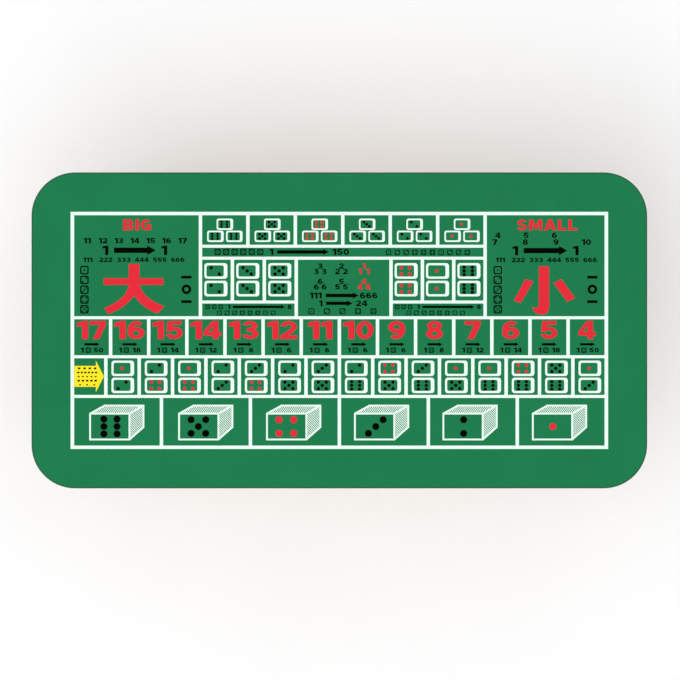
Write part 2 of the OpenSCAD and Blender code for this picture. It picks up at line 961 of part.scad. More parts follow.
// Opening in the white grid between four line centres.
module cell(u0, v0, u1, v1) {
    at(u0 + line_v / 2, v1 - line_h / 2)
        square([u1 - u0 - line_v, v1 - v0 - line_h]);
}

module cell_row(u0, pitch, count, v0, v1) {
    for (i = [0 : count - 1])
        cell(u0 + i * pitch, v0, u0 + (i + 1) * pitch, v1);
}

module white_grid() {
    middle_end = middle_u + middle_w;
    white()
    difference() {
        square([layout_w + frame_line, layout_h + frame_line], center = true);
        cell(0, 0, big_w, panel_v);
        cell(small_u, 0, layout_w, panel_v);
        cell_row(centre_u, triple_cell, 6, 0, triples_v);
        cell(centre_u, triples_v, small_u, band_v);
        cell_row(centre_u, (middle_u - centre_u) / 3, 3, band_v, doubles_v);
        cell(centre_u, doubles_v, middle_u, panel_v);
        cell(middle_u, band_v, middle_end, panel_v);
        cell_row(middle_end, (small_u - middle_end) / 3, 3, band_v, doubles_v);
        cell(middle_end, doubles_v, small_u, panel_v);
        cell_row(0, total_cell, 14, panel_v, totals_v);
        cell_row(0, pair_cell, 16, totals_v, pairs_v);
        cell_row(0, cube_cell, 6, pairs_v, layout_h);
    }
}

module white_triple_dice() {
    white()
    for (index = [0 : 5])
        triple_dice(index)
            die_outline(triple_die[0], triple_die[1]);
}

module white_double_dice() {
    white()
    for (third = [0, 1], index = [0 : 2])
        double_dice(third, index)
            die_outline(double_die[0], double_die[1]);
}

module white_pair_dice() {
    white()
    for (index = [0 : 14], row = [0, 1])
        pair_die(index, row)
            die_outline(pair_die_size[0], pair_die_size[1]);
}

module white_cubes() {
    white()
    for (index = [0 : 5])
        at(index * cube_cell + cube_u[index], cube_v)
            cube_drawing();
}

// ---------- printing: pips ----------

module black_pips_upper() {
    black()
    union() {
        for (index = [0 : 5])
            if (!is_red(6 - index))
                triple_pips(index);
        for (third = [0, 1], index = [0 : 2])
            if (!is_red(third == 0 ? doubles_left[index] : doubles_right[index]))
                double_pips(third, index);
    }
}

module black_pips_lower() {
    black()
    union() {
        for (index = [0 : 14], row = [0, 1])
            if (!is_red(pairs[index][row]))
                pair_pips(index, row);
        for (index = [0 : 5])
            if (!is_red(6 - index))
                cube_pips(index);
    }
}

module red_pips() {
    red()
    union() {
        for (index = [0 : 5])
            if (is_red(6 - index)) {
                triple_pips(index);
                cube_pips(index);
            }
        for (index = [0 : 2])
            if (is_red(doubles_right[index]))
                double_pips(1, index);
        for (index = [0 : 14], row = [0, 1])
            if (is_red(pairs[index][row]))
                pair_pips(index, row);
    }
}

// ---------- printing: totals and panels ----------

module red_totals() {
    red()
    for (i = [0 : 13])
        word_at(str(17 - i), (i + 0.5) * total_cell, 313.5, total_h, 9);
}

module red_triple_digits() {
    red()
    union() {
        digit_cluster("1", 852, 145);
        digit_cluster("4", 852, 190);
    }
}

// One figure over two, for three equal dice.
module digit_cluster(figure, u, v) {
    h = 15.8;
    word_at(figure, u, v, h, 5);
    for (side = [-1, 1])
        word_at(figure, u + side * 11.5, v + 16, h, 5);
}

// Bold character for "big": a crossbar, a trunk and two sweeping strokes.
module big_character() {
    n = 8;
    polygon(concat(
        [[104.3, 146], [73, 146], [73, 104.3], [0, 104.3], [0, 84.7]],
        bezier([73, 84.7], [66, 42], [1.4, 16.9], n),
        bezier([13, 0], [63.6, 17.1], [88.3, 53.4], n),
        bezier([88.9, 53.4], [112.1, 17.4], [157, 1], n),
        bezier([177, 22], [116, 44], [104.3, 84.7], n),
        [[174.7, 84.7], [174.7, 104.3], [104.3, 104.3]]
    ));
}

// Bold character for "small": a hooked upright between two slanting strokes.
module small_character() {
    n = 6;
    polygon(concat(
        [[73, 141], [73, 24], [63, 19]],
        bezier([54, 23], [56, 3], [78, 0], n),
        bezier([84, 0], [103, 1], [103, 24], n),
        [[103, 141]]
    ));
    polygon([[33.5, 103.5], [57.5, 97], [20.4, 34], [0, 40]]);
    polygon([[139, 104], [116, 92.5], [156, 37.5], [179, 48]]);
}

module red_big_panel() {
    red()
    union() {
        word_at("BIG", 190, 16.4, 32.4, 8);
        at(91.5, 292.8)
            big_character();
    }
}

module red_small_panel() {
    red()
    union() {
        word_at("SMALL", 1388, 17, 31.8, 8);
        at(1290, 294.9)
            small_character();
    }
}

// ---------- printing: black rules, as figures and symbols ----------

triples_text = ["111", "222", "333", "444", "555", "666"];

// "Stake one, win this many" between u0 and u1.
module pays(amount, u0, u1, v, h) {
    gap = h * 0.6;
    one_end = u0 + glyph_w("1") * h;
    amount_start = u1 - text_w(amount) * h;
    word_at("1", (u0 + one_end) / 2, v, h, 5);
    arrow_mark(one_end + gap, amount_start - gap, v + h / 2, h);
    word_at(amount, (amount_start + u1) / 2, v, h, 5);
}

// Column of die symbols on one side of a panel and an even-money sign on the other.
module panel_columns(u0, u1) {
    for (i = [0 : 4])
        die_mark(u0, 165 + i * 28.6, 25, i + 1);
    for (v = [185.5, 257])
        at(u1, v)
            square([30, 8], center = true);
    at(u1, 221)
        difference() {
            circle(d = 28, $fn = 32);
            circle(d = 13, $fn = 32);
        }
}

module black_big_rules() {
    black()
    union() {
        number_row(["11", "12", "13", "14", "15", "16", "17"], 32.7, 334.3, 71, 15.8);
        pays("1", 87.7, 276.8, 93.2, 27.5);
        number_row(triples_text, 31.6, 327.6, 128, 13);
        panel_columns(34.8, 333);
    }
}

module black_small_rules() {
    black()
    union() {
        number_row(["4", "5", "6"], 1235.7, 1416.3, 55, 16.2);
        number_row(["7", "8", "9", "10"], 1226.9, 1516, 74.6, 16.6);
        pays("1", 1285.9, 1479.1, 94.4, 26.9);
        number_row(triples_text, 1236.8, 1533.2, 128.4, 13.2);
        panel_columns(1242.8, 1519.5);
    }
}

module doubles_strip(u0) {
    for (i = [0 : 2])
        die_mark(u0 + 8 + i * 19, 272.2, 13.5, 5);
    pays("8", u0 + 66, u0 + 253, 266, 12.5);
    die_row(u0 + 35, u0 + 206, 290, 14, 8);
}

module black_centre_rules() {
    black()
    union() {
        for (i = [0 : 5])
            die_mark(424 + i * 25, 111.6, 18.5, 5);
        pays("150", 576, 809, 102.6, 18.1);
        die_row(916, 1162, 113, 16, 10);
        doubles_strip(387.5);
        doubles_strip(941);
        digit_cluster("3", 724.3, 145);
        digit_cluster("2", 786.2, 145);
        digit_cluster("6", 724.3, 190);
        digit_cluster("5", 786.2, 190);
        word_at("111", 711, 230.5, 17, 5);
        arrow_mark(740, 836, 239, 18);
        word_at("666", 866, 230.5, 17, 5);
        pays("24", 720.4, 861.9, 253.4, 16.9);
        die_row(689.7, 888.5, 285, 17.5, 5);
    }
}

// Rows of short marks inside the arrow: how many in each, and their size.
arrow_rows = [[4, 5.5], [6, 5], [5, 4], [5, 5.5], [3, 4]];

module arrow_marks() {
    for (row = [0 : len(arrow_rows) - 1])
        let (count = arrow_rows[row][0], size = arrow_rows[row][1])
        for (i = [0 : count - 1])
            at(12 + (i + 0.5) * 62 / count, 452 + row * 12)
                square([size * 1.3, size], center = true);
}

module black_row_labels() {
    black()
    union() {
        for (i = [0 : 13])
            let (mid = (i + 0.5) * total_cell + 1) {
                arrow_mark(mid - 22, mid + 22, 381.7, 12);
                die_mark(mid - 10.5, 398.8, 15.5, 5);
                word_at("1", mid - 28, 391.6, 14, 4);
                word_at(str(odds[i]), mid + 19.5, 391.6, 14, 4);
            }
        arrow_marks();
    }
}

module yellow_arrow() {
    ink([1, 0.94, 0.16])
    difference() {
        at(5.6, 475.4)
            polygon([
                [0, -30.7], [62.8, -30.7], [62.8, -46], [86.2, 0],
                [62.8, 46], [62.8, 30.7], [0, 30.7]
            ]);
        arrow_marks();
    }
}

top_board();
edge_band();
long_rail(FRONT);  // front_rail
long_rail(REAR);  // rear_rail
end_rail(LEFT);  // left_rail
end_rail(RIGHT);  // right_rail
corner_blocks();
cross_battens();
frame_screws();
bracket(LEFT, FRONT);  // left_front_bracket
bracket(LEFT, REAR);  // left_rear_bracket
bracket(RIGHT, FRONT);  // right_front_bracket
bracket(RIGHT, REAR);  // right_rear_bracket
bracket_screws();
pivot_bolts();
pivot_nuts();
leg(LEFT, FRONT);  // left_front_leg
leg(LEFT, REAR);  // left_rear_leg
cross_tube(LEFT, crossbar_drop);  // left_crossbar
cross_tube(LEFT, leg_len - stretcher_rise);  // left_stretcher
leg_caps(LEFT);  // left_leg_caps
feet(LEFT);  // left_feet
clamp_bolts(LEFT);  // left_clamp_bolts
clamp_washers(LEFT);  // left_clamp_washers
leg(RIGHT, FRONT);  // right_front_leg
leg(RIGHT, REAR);  // right_rear_leg
cross_tube(RIGHT, crossbar_drop);  // right_crossbar
cross_tube(RIGHT, leg_len - stretcher_rise);  // right_stretcher
leg_caps(RIGHT);  // right_leg_caps
feet(RIGHT);  // right_feet
clamp_bolts(RIGHT);  // right_clamp_bolts
clamp_washers(RIGHT);  // right_clamp_washers
knob(LEFT, FRONT);  // left_front_knob
knob(LEFT, REAR);  // left_rear_knob
knob(RIGHT, FRONT);  // right_front_knob
knob(RIGHT, REAR);  // right_rear_knob
insert(LEFT, FRONT);  // left_front_insert
insert(LEFT, REAR);  // left_rear_insert
insert(RIGHT, FRONT);  // right_front_insert
insert(RIGHT, REAR);  // right_rear_insert
mat_foam();
mat_cloth();
white_grid();
white_triple_dice();
white_double_dice();
white_pair_dice();
white_cubes();
black_pips_upper();
black_pips_lower();
red_pips();
red_totals();
red_big_panel();
red_small_panel();
red_triple_digits();
black_big_rules();
black_small_rules();
black_centre_rules();
black_row_labels();
yellow_arrow();
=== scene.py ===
"""Looks of a folding dice-game table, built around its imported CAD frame.

Every CAD node gets a procedural material. Finer pieces stand for the edge moulding, the mat's foam
and cloth, the feet, the star knobs and the pivot fasteners, and the leg frames get weld beads.
"""

import json
import math

import bmesh
import bpy
from mathutils import Matrix, Vector


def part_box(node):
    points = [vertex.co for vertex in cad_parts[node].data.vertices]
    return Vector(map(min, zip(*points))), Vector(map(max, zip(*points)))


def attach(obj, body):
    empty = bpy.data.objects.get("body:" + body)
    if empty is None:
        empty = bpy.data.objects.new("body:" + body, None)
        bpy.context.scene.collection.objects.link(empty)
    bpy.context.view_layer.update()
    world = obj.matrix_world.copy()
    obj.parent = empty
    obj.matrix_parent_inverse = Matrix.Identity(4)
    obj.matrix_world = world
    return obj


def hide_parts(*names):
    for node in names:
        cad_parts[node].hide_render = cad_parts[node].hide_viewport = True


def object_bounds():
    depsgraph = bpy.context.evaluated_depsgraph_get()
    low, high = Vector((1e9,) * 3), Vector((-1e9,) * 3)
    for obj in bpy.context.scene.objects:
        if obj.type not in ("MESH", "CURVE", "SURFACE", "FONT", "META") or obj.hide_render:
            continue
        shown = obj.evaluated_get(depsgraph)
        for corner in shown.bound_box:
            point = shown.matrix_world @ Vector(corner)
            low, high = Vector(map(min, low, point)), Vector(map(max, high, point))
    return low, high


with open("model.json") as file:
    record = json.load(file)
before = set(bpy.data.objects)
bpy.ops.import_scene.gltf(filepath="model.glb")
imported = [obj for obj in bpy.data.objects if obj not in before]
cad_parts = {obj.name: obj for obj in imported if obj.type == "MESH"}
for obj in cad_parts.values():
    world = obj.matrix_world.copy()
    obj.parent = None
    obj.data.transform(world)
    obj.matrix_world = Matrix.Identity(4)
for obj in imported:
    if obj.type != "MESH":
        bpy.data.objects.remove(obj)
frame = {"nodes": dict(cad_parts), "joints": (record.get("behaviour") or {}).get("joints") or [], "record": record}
cad_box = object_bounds()

MM = 0.001  # metres
TAU = 2 * math.pi
SIDES = ("left", "right")
FACES = ("front", "rear")
NODES = frame["nodes"]
JOINTS = {joint["name"]: joint for joint in frame["joints"]}
MOUNTS = {mount["name"]: mount for mount in frame["record"]["mounts"]}

# ---------- places and sizes from the frame ----------

board_low, board_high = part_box("top_board")
band_low, band_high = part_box("edge_band")
foam_low, foam_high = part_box("mat_foam")
cloth_low, cloth_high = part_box("mat_cloth")
tube_low, tube_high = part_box("left_front_leg")

CORNER_R = 128 * MM  # of the table's outline
BAND_T = band_high.x - board_high.x  # thickness of the edge moulding
LEG_Y = abs(MOUNTS["left_rear_sole"]["pos_m"][1])  # from the middle to a leg
LEG_R = (tube_high.y - tube_low.y) / 2
CROSS_R = 11 * MM  # of the crossbars and stretchers
ROUND_STEPS = 48  # sides of a small round piece

# ---------- materials ----------

SOCKETS = {
    "color": "Base Color",
    "metal": "Metallic",
    "rough": "Roughness",
    "specular": "Specular IOR Level",
    "sheen": "Sheen Weight",
    "sheen_rough": "Sheen Roughness",
    "normal": "Normal",
}


class Look:
    """A Principled material, with short calls for the nodes that feed it."""

    def __init__(self, name, **values):
        self.material = bpy.data.materials.new(name)
        self.material.use_nodes = True
        self.tree = self.material.node_tree
        self.shader = self.tree.nodes["Principled BSDF"]
        self.set(**values)

    def set(self, **values):
        """Gives the shader's inputs their values, by their short names in SOCKETS."""
        for key, value in values.items():
            self.feed(self.shader.inputs[SOCKETS[key]], value)

    def feed(self, socket, value):
        """Links a node's output to the socket, or sets the socket to a plain value."""
        if isinstance(value, bpy.types.NodeSocket):
            self.tree.links.new(value, socket)
        else:
            socket.default_value = value

    def node(self, kind, inputs, **settings):
        """Adds a shader node, feeds its inputs and gives its outputs."""
        made = self.tree.nodes.new("ShaderNode" + kind)
        for key, value in settings.items():
            setattr(made, key, value)
        for key, value in inputs.items():
            self.feed(made.inputs[key], value)
        return made.outputs

    def place(self, scale=(1, 1, 1)):
        """The piece's own coordinates in metres, each axis times its scale."""
        own = self.node("TexCoord", {})["Object"]
        return self.node("VectorMath", {0: own, 1: scale}, operation="MULTIPLY")[0]

    def noise(self, at, scale, detail):
        """Cloudy value about 0.5, with scale clouds to each unit of at."""
        return self.node("TexNoise", {"Vector": at, "Scale": scale, "Detail": detail})[0]

    def math(self, operation, a, b=0.0):
        """Result of one math operation; those on a alone leave b out."""
        return self.node("Math", {0: a, 1: b}, operation=operation)[0]

    def span(self, value, low, high, to_low=0.0, to_high=1.0):
        """Maps low..high to to_low..to_high, held at its ends."""
        inputs = {0: value, 1: low, 2: high, 3: to_low, 4: to_high}
        return self.node("MapRange", inputs)[0]

    def mix(self, factor, a, b):
        """Colour a where the factor is 0 and colour b where it is 1."""
        return self.node("Mix", {0: factor, 6: a, 7: b}, data_type="RGBA")[2]

    def bump(self, height, depth, normal=None):
        """Normal of a relief that rises by depth metres as height goes from 0 to 1."""
        inputs = {"Height": height, "Distance": depth, "Strength": 1.0}
        if normal is not None:
            inputs["Normal"] = normal
        return self.node("Bump", inputs)["Normal"]

    def soft_edges(self, radius):
        """Normal that shows sharp edges rounded."""
        return self.node("Bevel", {"Radius": radius}, samples=4)["Normal"]


def rgb(red, green, blue):
    """Linear colour from 8-bit sRGB values."""
    def linear(value):
        value /= 255
        return value / 12.92 if value <= 0.04045 else ((value + 0.055) / 1.055) ** 2.4

    return (linear(red), linear(green), linear(blue), 1.0)


def shade(color, factor):
    """The colour made darker or, with a factor above 1, lighter."""
    return tuple(c * factor for c in color[:3]) + (1.0,)


THREAD = 0.6 * MM  # spacing in the weave
THREAD_DEPTH = 0.18 * MM
CLOTH_GREEN = rgb(16, 118, 70)
ORIGIN_FROM_PITH = (0.13, 0.09, 0.06)


def weave(look, at):
    """Plain weave: its height from 0 to 1, and 1 where the warp lies on top."""
    x, y, _ = look.node("SeparateXYZ", {0: at}).values()
    warp, weft = (
        look.math("SINE", look.math("MULTIPLY", axis, math.pi / THREAD)) for axis in (x, y)
    )
    crossing = look.math("MULTIPLY", warp, weft)
    height = look.math("POWER", look.math("ABSOLUTE", crossing), 0.5)
    return height, look.math("GREATER_THAN", crossing, 0.0)


def cloth_look():
    """Woven cloth, faded in patches, with specks of lint."""
    look = Look("green_cloth", specular=0.12, sheen=0.08, sheen_rough=0.6)
    at = look.place()
    height, warp_up = weave(look, at)
    thread = look.mix(warp_up, shade(CLOTH_GREEN, 0.9), shade(CLOTH_GREEN, 1.08))
    faded = look.span(look.noise(at, 7, 5), 0.35, 0.7, 0.0, 0.35)
    lint = look.span(look.noise(at, 2600, 1), 0.68, 0.8, 0.0, 0.25)
    color = look.mix(faded, thread, shade(CLOTH_GREEN, 1.18))
    look.set(
        color=look.mix(lint, color, rgb(70, 150, 108)),
        rough=look.span(height, 0, 1, 0.95, 0.8),
        normal=look.bump(height, THREAD_DEPTH),
    )
    return look.material


def ink_look(name, color, worn, specular=0.1):
    """Screen-printed ink: it half fills the weave, shows a little green in its pinholes, and is worn
    in patches.
    """
    look = Look(name, specular=specular)
    at = look.place()
    height, _ = weave(look, at)
    pinholes = look.span(look.noise(at, 1900, 1), 0.67, 0.75, 0.0, 0.4)
    deep = look.math("MULTIPLY", pinholes, look.span(height, 0.2, 0.9, 1.0, 0.2))
    patchy = look.span(look.noise(at, 22, 4), 0.4, 0.75, 0.0, 0.5)
    look.set(
        color=look.mix(deep, look.mix(patchy, color, worn), CLOTH_GREEN),
        rough=look.span(look.noise(at, 160, 3), 0.3, 0.7, 0.55, 0.75),
        normal=look.bump(height, THREAD_DEPTH * 0.5),
    )
    return look.material


def wood_look(name, light, dark, along, ring_gap, wobble, late, rough):
    """Sawn wood: growth rings ring_gap metres apart, round a pith that runs along axis 0, 1 or 2.

    wobble is how far the rings wander, in rings; late is how sharply each one darkens at its end.
    """
    look = Look(name, specular=0.3)
    stretched = [1.0, 1.0, 1.0]
    stretched[along] = 0.05
    at = look.place(stretched)
    from_pith = look.node("VectorMath", {0: at, 1: ORIGIN_FROM_PITH}, operation="ADD")[0]
    radius = look.node("VectorMath", {0: from_pith}, operation="LENGTH")["Value"]
    wander = look.math("MULTIPLY", look.noise(at, 11, 3), wobble)
    phase = look.math("FRACT", look.math("ADD", look.math("DIVIDE", radius, ring_gap), wander))
    latewood = look.math("POWER", look.math("PINGPONG", look.math("MULTIPLY", phase, 2), 1.0), late)
    fibres = look.noise(at, 1500, 2)
    tone = look.math("ADD", look.math("MULTIPLY", latewood, 0.6), look.span(fibres, 0.3, 0.7, 0, 0.4))
    cloudy = look.span(look.noise(look.place(), 4, 2), 0.35, 0.7, 0.0, 0.25)
    look.set(
        color=look.mix(cloudy, look.mix(tone, light, dark), shade(light, 0.82)),
        rough=look.span(fibres, 0.3, 0.7, rough, rough + 0.15),
        normal=look.bump(fibres, 0.1 * MM, look.soft_edges(0.8 * MM)),
    )
    return look.material


def metal_look(name, base, rough, cell, flecks):
    """Plated metal with hairline scratches and a crystal pattern.

    cell is a crystal's size in metres; flecks is how much the crystals darken the base colour.
    """
    look = Look(name, metal=1.0)
    at = look.place()
    crystal = look.node("TexVoronoi", {"Vector": at, "Scale": 1 / cell})["Color"]
    crystal = look.node("SeparateColor", {0: crystal})[0]
    plated = look.mix(look.math("MULTIPLY", crystal, flecks), base, shade(base, 0.6))
    scratches = look.span(look.noise(look.place((900, 60, 900)), 1.0, 3), 0.55, 0.75)
    worn = look.span(look.noise(at, 60, 4), 0.35, 0.7)
    polish = look.span(worn, 0, 1, rough, rough + 0.14)
    relief = look.math("ADD", scratches, look.noise(at, 900, 2))
    look.set(
        color=look.mix(look.math("MULTIPLY", worn, 0.25), plated, shade(base, 0.75)),
        rough=look.math("ADD", polish, look.math("MULTIPLY", scratches, 0.08)),
        normal=look.bump(relief, 0.01 * MM, look.soft_edges(0.5 * MM)),
    )
    return look.material


def coat_look():
    """Satin black powder coat: orange peel, and scuffs that show grey."""
    look = Look("powder_coat", specular=0.5)
    at = look.place()
    scuff = look.span(look.noise(look.place((300, 300, 30)), 1.0, 4), 0.64, 0.72)
    dust = look.span(look.noise(at, 14, 4), 0.45, 0.75, 0.0, 0.4)
    dusty = look.mix(dust, rgb(27, 28, 30), rgb(44, 45, 47))
    polish = look.span(dust, 0, 0.4, 0.33, 0.46)
    look.set(
        color=look.mix(look.math("MULTIPLY", scuff, 0.5), dusty, rgb(92, 93, 96)),
        rough=look.math("ADD", polish, look.math("MULTIPLY", scuff, 0.15)),
        normal=look.bump(look.noise(at, 620, 1), 0.035 * MM),
    )
    return look.material


def moulded_look(name, color, rough, grain, depth, specular=0.4):
    """Moulded plastic or rubber with dusty patches and a spark-eroded grain, grain metres across."""
    look = Look(name, specular=specular)
    at = look.place()
    dust = look.span(look.noise(at, 45, 4), 0.42, 0.75, 0.0, 0.45)
    look.set(
        color=look.mix(dust, color, shade(color, 1.9)),
        rough=look.span(look.noise(at, 90, 3), 0.3, 0.7, rough - 0.06, rough + 0.08),
        normal=look.bump(look.noise(at, 1 / grain, 2), depth),
    )
    return look.material


def foam_look():
    """Dark foam rubber with open cells, each cell's pit painted darker as shade."""
    look = Look("foam_rubber", specular=0.2)
    cell = 0.9 * MM
    cells = look.node("TexVoronoi", {"Vector": look.place(), "Scale": 1 / cell})["Distance"]
    look.set(
        # painted shade: the colour darkens towards each cell's middle, where the bump below sinks it into a pit
        color=look.mix(look.span(cells, 0.1, 0.7), rgb(30, 31, 32), rgb(58, 59, 60)),
        rough=look.span(cells, 0, 0.8, 0.95, 0.8),
        normal=look.bump(cells, 0.3 * MM),
    )
    return look.material


LOOKS = {
    "plywood": wood_look(
        "birch_face", light=rgb(222, 190, 146), dark=rgb(190, 150, 104), along=0,
        ring_gap=28 * MM, wobble=3.5, late=1.6, rough=0.5,
    ),
    "edge_rubber": moulded_look(
        "edge_rubber", rgb(32, 78, 55), rough=0.62, grain=0.5 * MM, depth=0.03 * MM, specular=0.25,
    ),
    "zinc_steel": metal_look(
        "zinc_steel", rgb(200, 203, 208), rough=0.24, cell=1.6 * MM, flecks=0.25,
    ),
    "bracket_steel": metal_look(
        "bracket_steel", rgb(176, 180, 186), rough=0.32, cell=7 * MM, flecks=0.5,
    ),
    "powder_coat": coat_look(),
    "black_plastic": moulded_look(
        "black_plastic", rgb(26, 26, 27), rough=0.42, grain=0.35 * MM, depth=0.04 * MM,
    ),
    "foot_rubber": moulded_look(
        "foot_rubber", rgb(30, 30, 30), rough=0.8, grain=0.8 * MM, depth=0.05 * MM, specular=0.3,
    ),
    "brass": metal_look("brass", rgb(214, 178, 96), rough=0.28, cell=0.9 * MM, flecks=0.2),
    "foam_rubber": foam_look(),
    "green_cloth": cloth_look(),
    "white_ink": ink_look("white_ink", rgb(231, 250, 240), worn=rgb(220, 241, 230)),
    "black_ink": ink_look("black_ink", rgb(2, 4, 1), worn=rgb(9, 13, 8), specular=0.01),
    "red_ink": ink_look("red_ink", rgb(222, 36, 52), worn=rgb(213, 46, 60)),
    "yellow_ink": ink_look("yellow_ink", rgb(250, 229, 28), worn=rgb(242, 220, 44)),
}

# The pine nodes, by the axis that their grain runs along.
PINE_ALONG = {
    0: ("front_rail", "rear_rail"),
    1: ("left_rail", "right_rail", "cross_battens"),
    2: ("corner_blocks",),
}
PINE_LOOKS = {}
for grain_axis, pine_nodes in PINE_ALONG.items():
    pine = wood_look(
        f"pine_{grain_axis}", light=rgb(226, 190, 138), dark=rgb(176, 124, 74), along=grain_axis,
        ring_gap=5.5 * MM, wobble=1.8, late=2.5, rough=0.55,
    )
    PINE_LOOKS.update(dict.fromkeys(pine_nodes, pine))

for part in frame["record"]["subparts"]:
    cad_node = part["node"]
    found = PINE_LOOKS.get(cad_node) or LOOKS[part["material_slot"]]
    NODES[cad_node].data.materials.clear()
    NODES[cad_node].data.materials.append(found)

# ---------- mesh helpers ----------

SHARP = math.radians(38)
WELD = 1e-7  # points closer than this become one


def finish_piece(name, bm, slot, body, *stands_for):
    """Makes the piece from a bmesh, smooth but for its sharp edges, and puts it on its body."""
    bmesh.ops.remove_doubles(bm, verts=bm.verts, dist=WELD)
    bmesh.ops.recalc_face_normals(bm, faces=bm.faces)
    for face in bm.faces:
        face.smooth = True
    for edge in bm.edges:
        edge.smooth = edge.is_manifold and edge.calc_face_angle(0) < SHARP
    mesh = bpy.data.meshes.new(name)
    bm.to_mesh(mesh)
    bm.free()
    piece = bpy.data.objects.new(name, mesh)
    bpy.context.scene.collection.objects.link(piece)
    mesh.materials.append(LOOKS[slot])
    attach(piece, body)
    if stands_for:
        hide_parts(*stands_for)
    return piece


def skin(bm, rings, loop=False):
    """Quads between rings of equal count. A ring of one point is a pole. loop joins last to first."""
    made = [[bm.verts.new(point) for point in points] for points in rings]
    pairs = list(zip(made, made[1:])) + ([(made[-1], made[0])] if loop else [])
    for low, high in pairs:
        count = max(len(low), len(high))
        for i in range(count):
            j = (i + 1) % count
            corners = [low[i % len(low)], low[j % len(low)], high[j % len(high)], high[i % len(high)]]
            corners = list(dict.fromkeys(corners))
            bm.faces.new(corners)
    return made


def outline(inset, z):
    """Points round the table's outline, inset from it, with true corner arcs."""
    arc_steps = 20
    straight_step = 60 * MM
    half_l = band_high.x - CORNER_R
    half_w = band_high.y - CORNER_R
    radius = CORNER_R - inset
    centres = ((half_l, half_w), (-half_l, half_w), (-half_l, -half_w), (half_l, -half_w))
    points = []
    for quarter, (cx, cy) in enumerate(centres):
        for step in range(arc_steps + 1):
            angle = (quarter + step / arc_steps) * TAU / 4
            points.append(Vector((cx + radius * math.cos(angle), cy + radius * math.sin(angle), z)))
        side = 2 * (half_l if quarter % 2 == 0 else half_w)
        along = Matrix.Rotation(TAU / 4, 3, "Z") @ Vector((math.cos(angle), math.sin(angle), 0))
        steps = round(side / straight_step)
        start = points[-1]
        points += [start + along * side * k / steps for k in range(1, steps)]
    return points


def frame_at(origin, axis, up=(0, 0, 1)):
    """Matrix whose Z runs along axis from origin, and whose X is square to up."""
    z = Vector(axis).normalized()
    x = Vector(up).cross(z).normalized()
    y = z.cross(x)
    turned = Matrix((x, y, z)).transposed().to_4x4()
    return Matrix.Translation(Vector(origin)) @ turned


def ring(matrix, height, radius_at, count):
    """Points round the matrix's Z at a height; radius_at takes the angle, or is a number."""
    found = []
    for i in range(count):
        angle = TAU * i / count
        radius = radius_at(angle) if callable(radius_at) else radius_at
        found.append(matrix @ Vector((radius * math.cos(angle), radius * math.sin(angle), height)))
    return found


def arc_points(cx, cy, radius, start, end, steps):
    """Points on an arc in a profile's plane; angles in degrees."""
    angles = (math.radians(start + (end - start) * i / steps) for i in range(steps + 1))
    return [(cx + radius * math.cos(a), cy + radius * math.sin(a)) for a in angles]


# ---------- edge moulding ----------


def edge_moulding():
    """T-moulding: a crowned outer strip with rounded lips, and a stem in the board's groove."""
    low, high = band_low.z, band_high.z
    lip = 1.1 * MM
    crown = 0.25 * MM
    crown_steps = 6
    eased = 0.3 * MM
    stem_in = BAND_T + 8 * MM
    stem_z = (board_low.z + board_high.z) / 2
    stem_half = 1 * MM
    stem_point = 0.6 * MM
    middle = (low + high) / 2
    between_lips = high - low - 2 * lip
    heights = [low + lip + between_lips * i / crown_steps for i in range(1, crown_steps)]
    face = [(crown * (2 * (z - middle) / (high - low)) ** 2, z) for z in heights]
    profile = [
        (BAND_T, stem_z - stem_half),
        (BAND_T, low),
        *arc_points(crown + lip, low + lip, lip, 270, 180, 5),
        *face,
        *arc_points(crown + lip, high - lip, lip, 180, 90, 5),
        (BAND_T - eased, high),
        (BAND_T, high - eased),
        (BAND_T, stem_z + stem_half),
        (stem_in - stem_point, stem_z + stem_half),
        (stem_in, stem_z),
        (stem_in - stem_point, stem_z - stem_half),
    ]
    bm = bmesh.new()
    skin(bm, [outline(inset, z) for inset, z in profile], loop=True)
    finish_piece("edge_moulding", bm, "edge_rubber", "top", "edge_band")


# ---------- mat ----------


def slab(profile):
    """Closed slab from (inset, z) stations that run from its underside to its top."""
    bm = bmesh.new()
    made = skin(bm, [outline(inset, z) for inset, z in profile])
    bm.faces.new(made[0])
    bm.faces.new(made[-1])
    return bm


def mat_pieces():
    """Foam rubber with eased edges, and the printed cloth bonded on it with a pressed cut edge."""
    edge = band_high.x - foam_high.x
    low, high = foam_low.z, foam_high.z
    ease = 0.5 * MM
    ease_middle = 0.15 * MM
    waist = 0.12 * MM
    bonded = 0.1 * MM
    profile = [
        (edge + ease, low),
        (edge + ease_middle, low + ease_middle),
        (edge, low + ease),
        (edge + waist, (low + high) / 2),
        (edge, high - bonded),
        (edge, high),
    ]
    foam = finish_piece("foam_backing", slab(profile), "foam_rubber", "mat", "mat_foam")

    low, high = cloth_low.z, cloth_high.z
    cut_edge = 0.2 * MM
    # Millimetres in from the edge, and below the face there.
    pressed = ((0.1, 0.16), (0.4, 0.05), (1.2, 0.01), (2.5, 0), (60, 0))
    profile = [(edge, low), (edge, low + cut_edge)]
    profile += [(edge + inwards * MM, high - drop * MM) for inwards, drop in pressed]
    cloth = finish_piece("layout_cloth", slab(profile), "green_cloth", "mat", "mat_cloth")


# ---------- feet ----------


